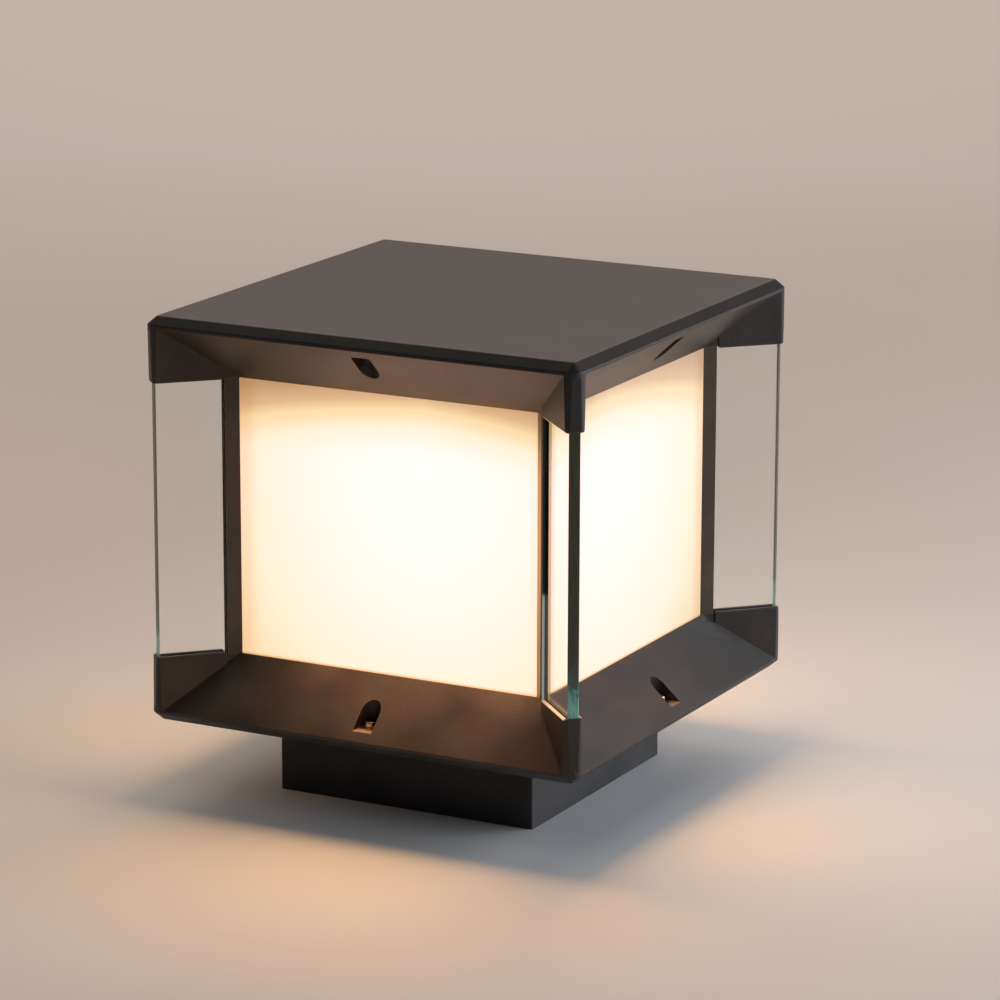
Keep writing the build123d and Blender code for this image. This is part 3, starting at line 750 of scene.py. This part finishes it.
def on_flute(middle, normal):
    """True for a face of the housing's wall where a flute runs."""
    upright = abs(normal.z) < 0.8 and flute_low < middle.z < flute_high
    return upright and side_number(middle, housing_sides) in flutes


pick(housing, "FACE", on_flute)
bpy.ops.mesh.inset(thickness=flute_gap, depth=-flute_depth)
end_editing(40.0)
spots = [Matrix.Identity(4)]
set_out(housing, "fluted_bulb_housing", spots, "bulb", "bulb_body", bulb_white)

bulb_opal, shader = new_finish("bulb_opal")
place = object_place(bulb_opal)
low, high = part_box("bulb_globe")
rise = graded(bulb_opal, axes(bulb_opal, place)[2], low.z, high.z)
milk = speckle(bulb_opal, place, 60.0, 3.0)
feed(bulb_opal, shader, {
    "Base Color": clouded(bulb_opal, milk, (0.80, 0.77, 0.72), (0.86, 0.84, 0.80)),
    "Roughness": 0.3,
    "Emission Color": ramp(
        bulb_opal, rise, (0.0, (0.80, 0.50, 0.25)), (0.3, (1.0, 0.84, 0.60)), (1.0, (1.0, 0.93, 0.78))),
    "Emission Strength": 1.0,
})
dress(["bulb_globe"], bulb_opal)

# Corner posts: four extruded aluminium profiles on the diagonals, coated like the frames but smoother. Each
# backs the ends of two opal panels and holds the inner edge of a glass. On the front one, painted light
# glows gold on the left flank and amber on the right lip as painted reflections of the panels, a painted
# pale highlight runs along the lower part of the left lip, and the lips and the left side by the slot are
# painted black as shade in the slot.
post_coat = powder_coat(
    "post_powder_coat", dark=(0.058, 0.044, 0.034), light=(0.112, 0.085, 0.064),
    roughness=0.42, gloss=0.4, grain_depth=0.05 * MM, edge_r=0.3 * MM)
flank_middle, flank_half = post_end - 7.6 * MM, 4.6 * MM
flank_none, flank_full = -4.30 * MM, -4.45 * MM
lip_none, lip_full = post_end - 0.5 * MM, post_end - 0.2 * MM
slot_none, slot_full = post_end - 3.2 * MM, post_end - 2.6 * MM
glow_low, glow_high, lip_share, lip_least = 80.0 * MM, 220.0 * MM, 0.85, 0.37
line_none, line_full, line_level = 134.5 * MM, 132.0 * MM, 0.24
glow_stops = (0.0, 0.19), (0.2, 0.26), (0.36, 0.38), (0.58, 0.48), (0.8, 0.45), (0.98, 0.08)
amber, gold, pale = (1.0, 0.40, 0.03), (1.0, 0.53, 0.16), (1.0, 1.04, 0.94)
shade_black, coat_gloss, slot_shade_gloss = (0.030, 0.026, 0.021), 0.4, 0.05
outward, rightward = corner_ways(post_coat)
height = axes(post_coat, object_place(post_coat))[2]
# Painted light and shade on the front post: glowing flank and lips, a pale highlight, and black painted
# shade by the slot.
beside = reckon(post_coat, "COMPARE", outward, flank_middle, flank_half)
flank = both(post_coat, beside, graded(post_coat, rightward, flank_none, flank_full))
lip = graded(post_coat, outward, lip_none, lip_full)
left = reckon(post_coat, "LESS_THAN", rightward, 0.0)
left_lip = both(post_coat, lip, left)
right_lip = both(post_coat, lip, reckon(post_coat, "SUBTRACT", 1.0, left))
near_slot = graded(post_coat, outward, slot_none, slot_full)
slot_shade = reckon(post_coat, "MAXIMUM", lip, both(post_coat, left, near_slot))
up = graded(post_coat, height, glow_low, glow_high)
flank_glow = ramp(post_coat, up, *((at, (glow,) * 3) for at, glow in glow_stops))
lip_glow = reckon(post_coat, "MULTIPLY_ADD", flank_glow, lip_share, lip_least)
line_glow = graded(post_coat, height, line_none, line_full, 0.0, line_level)
strength = both(post_coat, flank, flank_glow)
for more in (both(post_coat, right_lip, lip_glow), both(post_coat, left_lip, line_glow)):
    strength = reckon(post_coat, "ADD", strength, more)
shader = post_coat.node_tree.nodes["Principled BSDF"]
coat = shader.inputs["Base Color"].links[0].from_socket
feed(post_coat, shader, {
    "Base Color": mix(post_coat, slot_shade, coat, shade_black),
    "Specular IOR Level": graded(post_coat, slot_shade, 0.0, 1.0, coat_gloss, slot_shade_gloss),
    "Emission Color": mix(post_coat, left_lip, mix(post_coat, flank, gold, amber), pale),
    "Emission Strength": strength,
})
dress([f"corner_post_{n}" for n in (1, 2, 3, 4)], post_coat)

# Opal panels: four sheets of satin opal acrylic that stand in the frames' grooves. The bulb behind them
# shows as a painted glow, a soft pale centre that turns cream, then orange, towards the upper corners. The
# bright centre is painted off to one side on the front and right panels, and the ends and a band at the
# groove are painted in shade.
SPOT_Z = 190.0 * MM
FALL_SIDE, FALL_UP, FALL_DOWN = 225.0 * MM, 45.0 * MM, 268.0 * MM
SLANT, CENTRE_LIFT, CENTRE_REACH, END_LEAN = 0.33, 1.8, 0.62, 6.0
END_SHADE, FOOT_SHADE = (0.92, 0.84, 0.76), (0.88, 0.68, 0.38)
panel_low, panel_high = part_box("diffuser_front")
end_none, end_full = panel_high.x - 9.0 * MM, panel_high.x + 1.0 * MM
groove_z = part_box("base_frame")[1].z - 1.0 * MM
foot_none, foot_full = groove_z + 1.1 * MM, groove_z + 0.4 * MM


def opal_panel(name, turn, spot_x, level):
    """Opal sheet lit from behind, for the panel that this turn brings to the front."""
    finish, shader = new_finish(name)
    place = object_place(finish)
    faced = lay(finish, "Mapping", "Vector", {"Vector": place, "Rotation": (0, 0, math.radians(turn))})
    wide, _, height = axes(finish, faced)

    def away(value, centre, reach):
        """How far a value lies from a centre, counted in reaches."""
        return graded(finish, value, centre, centre + reach, clamp=False)

    aside = away(wide, spot_x, FALL_SIDE)
    drop = reckon(finish, "ABSOLUTE", reckon(finish, "MULTIPLY", aside, SLANT))
    above = reckon(finish, "ADD", away(height, SPOT_Z, FALL_UP), drop)
    below = away(height, SPOT_Z, -FALL_DOWN)
    reach = straight(finish, aside, reckon(finish, "MAXIMUM", above, below))
    glow = ramp(
        finish, reach, (0.0, (1.0, 0.53, 0.51)), (0.17, (1.0, 0.59, 0.56)), (0.28, (1.0, 0.63, 0.565)),
        (0.38, (1.0, 0.665, 0.54)), (0.48, (1.0, 0.72, 0.54)), (0.67, (0.94, 0.69, 0.37)),
        (0.79, (0.70, 0.43, 0.22)), (1.0, (0.50, 0.27, 0.12)))
    from_middle = reckon(finish, "ABSOLUTE", reckon(finish, "SUBTRACT", wide, spot_x / END_LEAN))
    # Painted shade at the panel's ends and at the groove's edge.
    ends = graded(finish, from_middle, end_none, end_full, interpolation_type="SMOOTHSTEP")
    foot = graded(finish, height, foot_none, foot_full)
    warm_ends = mix(finish, ends, glow, END_SHADE, "MULTIPLY")
    milk = speckle(finish, place, 140.0, 3.0)
    feed(finish, shader, {
        "Base Color": clouded(finish, milk, (0.20, 0.19, 0.17), (0.22, 0.21, 0.19)),
        "Roughness": spread(finish, milk, 0.30, 0.38),
        "Emission Color": mix(finish, foot, warm_ends, FOOT_SHADE, "MULTIPLY"),
        "Emission Strength": graded(finish, reach, 0.0, CENTRE_REACH, CENTRE_LIFT * level, level),
    })
    return finish


for side, turn, spot_x, level in (
        ("front", 0, 22.0 * MM, 1.0), ("right", -90, -28.0 * MM, 0.86),
        ("back", 180, 0.0, 1.0), ("left", 90, 0.0, 1.0)):
    dress([f"diffuser_{side}"], opal_panel(f"opal_{side}", turn, spot_x, level))

# Corner panes: four upright plates of clear float glass, set on the diagonals in the slots of the fins
# and posts. The faces are clear, and the long way through the glass shows green at the ground edges. The
# inner edge is painted black as shade in the slot, and the foot of the outer edge is painted bright teal as
# light that the glass leads there.
clear_glass, shader = new_finish("clear_glass")
place = object_place(clear_glass)
ground_none, ground_full = pane_end - 0.7 * MM, pane_end - 0.4 * MM
slot_shade_none, slot_shade_full = post_end + 0.6 * MM, post_end + 0.4 * MM
lip_z, lit_rise, ragged_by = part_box("corner_glass_1")[0].z + 4.1 * MM, 30.0 * MM, 4.0 * MM
edge_clearness, ground_roughness, shade_black = 0.35, 0.32, (0.010, 0.010, 0.010)
along_diagonal = lay(clear_glass, "VectorMath", "Value", {
    0: absolute(clear_glass, place), 1: (DIAGONAL, DIAGONAL, 0.0)}, operation="DOT_PRODUCT")
ground = graded(clear_glass, along_diagonal, ground_none, ground_full)
# Painted shade: the part of the pane inside the post's slot is black and lets nothing through.
slot_shaded = graded(clear_glass, along_diagonal, slot_shade_none, slot_shade_full)
stretched = lay(clear_glass, "Mapping", "Vector", {"Vector": place, "Scale": (1.0, 1.0, 0.02)})
strokes = speckle(clear_glass, stretched, 2600.0)
waves = speckle(clear_glass, place, 18.0, 1.0)
ragged = spread(clear_glass, speckle(clear_glass, place, 380.0, 3.0), -ragged_by, ragged_by)
above_lip = reckon(clear_glass, "ADD", axes(clear_glass, place)[2], ragged)
# Painted light: the outer ground edge is bright teal near its foot and darker above.
lit_foot = graded(clear_glass, above_lip, lip_z, lip_z + lit_rise)
tone = ramp(
    clear_glass, lit_foot, (0.0, (0.45, 1.00, 0.90)), (0.3, (0.32, 0.86, 0.76)),
    (0.5, (0.10, 0.22, 0.18)), (1.0, (0.066, 0.082, 0.044)))
streaks = ramp(clear_glass, strokes, (0.35, (0.55, 0.55, 0.55)), (0.65, (1.0, 1.0, 1.0)))
green = mix(clear_glass, 1.0, tone, streaks, "MULTIPLY")
edged = mix(clear_glass, ground, (1.0, 1.0, 1.0), green)
clear = graded(clear_glass, ground, 0.0, 1.0, 1.0, edge_clearness)
outside_slot_shade = reckon(clear_glass, "SUBTRACT", 1.0, slot_shaded)
feed(clear_glass, shader, {
    "Base Color": mix(clear_glass, slot_shaded, edged, shade_black),
    "Roughness": spread(clear_glass, ground, 0.0, ground_roughness),
    "IOR": 1.5,
    "Transmission Weight": both(clear_glass, clear, outside_slot_shade),
    "Normal": bumped(clear_glass, waves, 0.1, 0.05 * MM),
})
lamp_ray = lay(clear_glass, "LightPath", "Is Shadow Ray", {})
through = lay(clear_glass, "BsdfTransparent", "BSDF", {"Color": (0.90, 0.94, 0.92, 1.0)})
tint = {"Color": (0.55, 0.90, 0.76, 1.0), "Density": 14.0}
feed(clear_glass, clear_glass.node_tree.nodes["Material Output"], {
    "Surface": lay(clear_glass, "MixShader", "Shader", {0: lamp_ray, 1: shader.outputs["BSDF"], 2: through}),
    "Volume": lay(clear_glass, "VolumeAbsorption", "Volume", tint),
})
dress([f"corner_glass_{n}" for n in (1, 2, 3, 4)], clear_glass)

# Lid: the square top plate, slanted at its edge and screwed to the upper frame from below. It has the
# frames' coat, laid on finer, so that it shows an even sheen.
lid_coat = powder_coat(
    "lid_powder_coat", dark=(0.012, 0.0108, 0.0105), light=(0.023, 0.0205, 0.0195),
    roughness=0.40, gloss=0.32, grain_depth=0.035 * MM, edge_r=0.2 * MM)
dress(["lid"], lid_coat)

# Glow: the bulb's light as it leaves the four panels. Most of it falls on the floor all round, and some runs
# along the frames' sloping faces. Each lamp lies just outside a panel. Those for the slopes reach the two
# frames and nothing else.
GLOW, SLOPE_GLOW = (1.0, 0.53, 0.18), (1.0, 0.44, 0.19)
GLOW_GAP, SLOPE_GAP = 12.0 * MM, 0.6 * MM
slopes = bpy.data.collections.new("slopes")
for name in ("base_frame", "top_frame"):
    slopes.objects.link(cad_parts[name])
for n, (turn, aside, broad, down, up) in enumerate((
        (0.0, 22.0 * MM, 0.58, 0.19, 0.12), (90.0, -28.0 * MM, 0.46, 0.04, 0.03),
        (180.0, 0.0, 0.46, 0.12, 0.05), (270.0, 0.0, 0.28, 0.12, 0.05))):
    for kind, width, height, level, tilt, energy in (
            ("glow", 120.0 * MM, 130.0 * MM, 150.0 * MM, 0.0, broad),
            ("low_glow", 140.0 * MM, 22.0 * MM, 98.0 * MM, 90.0, down),
            ("high_glow", 120.0 * MM, 22.0 * MM, 204.0 * MM, -90.0, up)):
        bpy.ops.object.light_add(type="AREA")
        glow = bpy.context.object
        glow.name = f"{kind}_{n + 1}"
        glow.data.shape = "RECTANGLE"
        glow.data.size = width
        glow.data.size_y = height
        glow.data.energy = energy
        glow.data.color = SLOPE_GLOW if tilt else GLOW
        glow.visible_camera = False
        glow.visible_glossy = False
        glow.visible_transmission = False
        if tilt:
            glow.light_linking.receiver_collection = slopes
        stand_off = SLOPE_GAP + height / 2 if tilt else GLOW_GAP
        stand = Matrix.Translation((aside, panel_low.y - stand_off, level))
        stand = stand @ Matrix.Rotation(math.radians(tilt - 90.0), 4, "X")
        glow.matrix_world = Matrix.Rotation(math.radians(turn), 4, "Z") @ stand
        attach(glow, "lamp")

# Studio: a pale sweep of paper for a floor, warmer further off, in a room that is pale behind the light and
# dim in front. A broad soft lamp hangs high behind, weak cool ones stand on the right and in front, and a
# warm one on the left. The lowest one, on the right, reaches the pedestal only.
BACKDROP = (0.52, 0.42, 0.36)
FLOOR_SIZE, FLOOR_FAR, HAZE_FROM, HAZE_TO, MOTTLE = 24.0, 2.0, 3.5, 6.0, 0.12
bpy.ops.object.select_all(action="DESELECT")
bpy.ops.mesh.primitive_plane_add(size=FLOOR_SIZE)
floor = bpy.context.object
floor.name = "floor"
paper, shader = new_finish("paper")
place = object_place(paper)
distance = lay(paper, "VectorMath", "Value", {0: place}, operation="LENGTH")
mottle = spread(paper, speckle(paper, place, 1.5, 3.0), -MOTTLE, MOTTLE)
share = graded(paper, reckon(paper, "ADD", distance, mottle), 0.0, FLOOR_FAR)
feed(paper, shader, {
    "Base Color": ramp(
        paper, share, (0.1, (0.60, 0.60, 0.60)), (0.3, (0.62, 0.56, 0.52)),
        (0.6, (0.70, 0.635, 0.60)), (1.0, (0.80, 0.74, 0.74))),
    "Roughness": 0.6,
    "Specular IOR Level": 0.3,
})
far_off = graded(paper, distance, HAZE_FROM, HAZE_TO)
haze = both(paper, far_off, lay(paper, "LightPath", "Is Camera Ray", {}))
faded = lay(paper, "Emission", "Emission", {"Color": (*BACKDROP, 1.0), "Strength": 1.0})
feed(paper, paper.node_tree.nodes["Material Output"], {
    "Surface": lay(paper, "MixShader", "Shader", {0: haze, 1: shader.outputs["BSDF"], 2: faded}),
})
floor.data.materials.append(paper)

room = bpy.data.worlds.new("room")
room.use_nodes = True
ahead = lay(room, "TexCoord", "Generated", {})
to_back = lay(room, "VectorMath", "Value", {0: ahead, 1: (-0.35, 0.937, 0.0)}, operation="DOT_PRODUCT")
walls = ramp(
    room, graded(room, to_back, -0.4, 0.65), (0.0, (0.02, 0.03, 0.08)), (1.0, (0.335, 0.25, 0.27)))
ceiling = graded(room, axes(room, ahead)[2], 0.20, 0.42, 1.0, 0.2)
seen = lay(room, "LightPath", "Is Camera Ray", {})
feed(room, room.node_tree.nodes["Background"], {
    "Color": mix(room, seen, walls, BACKDROP),
    "Strength": reckon(room, "MAXIMUM", ceiling, seen),
})
bpy.context.scene.world = room

foot_side = bpy.data.collections.new("foot_side")
foot_side.objects.link(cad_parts["pedestal"])
for name, spot, aim, size, energy, colour in (
        ("overhead", (-1.4, 2.8, 3.0), (-0.9, 2.0, 0.0), 4.5, 105.0, (1.0, 0.88, 0.74)),
        ("right_fill", (1.2, 0.0, 0.65), (0.0, 0.0, 0.1), 0.7, 4.0, (0.80, 0.94, 1.0)),
        ("back_fill", (0.9, 0.7, 0.5), (0.0, 0.0, 0.1), 0.6, 6.8, (0.90, 0.91, 1.0)),
        ("left_fill", (-1.2, -0.3, 0.4), (0.0, 0.0, 0.1), 0.6, 4.2, (1.0, 0.72, 0.48)),
        ("front_fill", (0.3, -1.0, 1.4), (0.0, 0.0, 0.0), 0.8, 2.6, (0.70, 0.88, 1.0)),
        ("low_fill", (0.9, 0.25, 0.12), (0.0, 0.0, 0.02), 0.2, 6.0, (0.90, 0.95, 1.0))):
    bpy.ops.object.light_add(type="AREA", location=spot)
    lamp = bpy.context.object
    lamp.name = name
    lamp.data.size = size
    lamp.data.energy = energy
    lamp.data.color = colour
    lamp.visible_camera = False
    lamp.visible_glossy = name not in ("left_fill", "front_fill")
    lamp.rotation_euler = (Vector(spot) - Vector(aim)).to_track_quat("Z", "Y").to_euler()
    if name == "low_fill":
        lamp.light_linking.receiver_collection = foot_side

# Camera: a long lens, a little above the light and round to its right.
AZIMUTH, ELEVATION, ROLL = math.radians(27.62), math.radians(14.0), math.radians(0.14)
STAND, SENSOR_WIDTH, LENS = (1.0779, -2.0285, 0.7229), 36.0, 160.85
bpy.ops.object.camera_add()
camera = bpy.context.object
camera.data.sensor_width = SENSOR_WIDTH
camera.data.lens = LENS
camera.data.clip_end = 100.0
camera.matrix_world = (
    Matrix.Translation(STAND) @ Matrix.Rotation(AZIMUTH, 4, "Z")
    @ Matrix.Rotation(math.pi / 2 - ELEVATION, 4, "X") @ Matrix.Rotation(ROLL, 4, "Z"))
bpy.context.scene.camera = camera
bpy.context.scene.view_settings.view_transform = "Standard"
